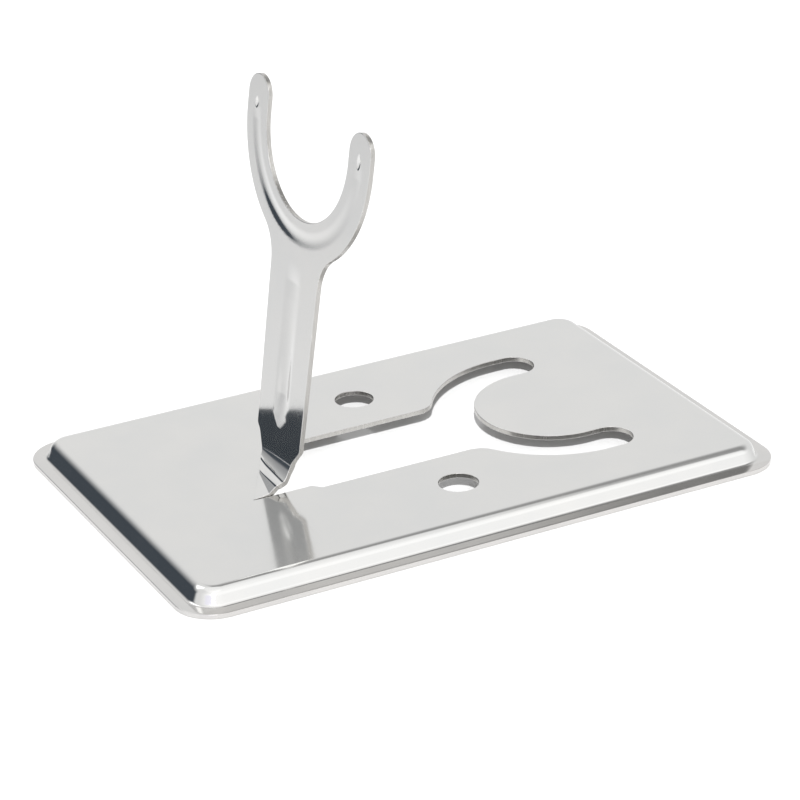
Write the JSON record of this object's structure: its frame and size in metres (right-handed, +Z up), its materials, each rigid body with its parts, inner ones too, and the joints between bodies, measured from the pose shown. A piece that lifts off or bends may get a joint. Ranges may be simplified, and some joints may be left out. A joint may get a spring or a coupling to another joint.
{
  "type": "razor stand",
  "caption": "One-piece stamped steel razor stand: a shallow raised plate with a flat rim, and a forked arm lanced out of it and bent up to hold a razor by its neck",
  "frame": {"origin": "the middle of the underside, on the surface that the rim stands on", "axes": "+Z up, +X along the plate from the foot of the arm towards the round end of the cut-out, +Y across the plate"},
  "size_m": [0.104, 0.0676, 0.0633],
  "materials": {
    "stainless_sheet": "bright polished stainless steel sheet, faint handling scratches, sheared edges left plain"
  },
  "bodies": {
    "root": {"base_plate": "stainless_sheet", "fork_arm": "stainless_sheet"}
  },
  "joints": []
}
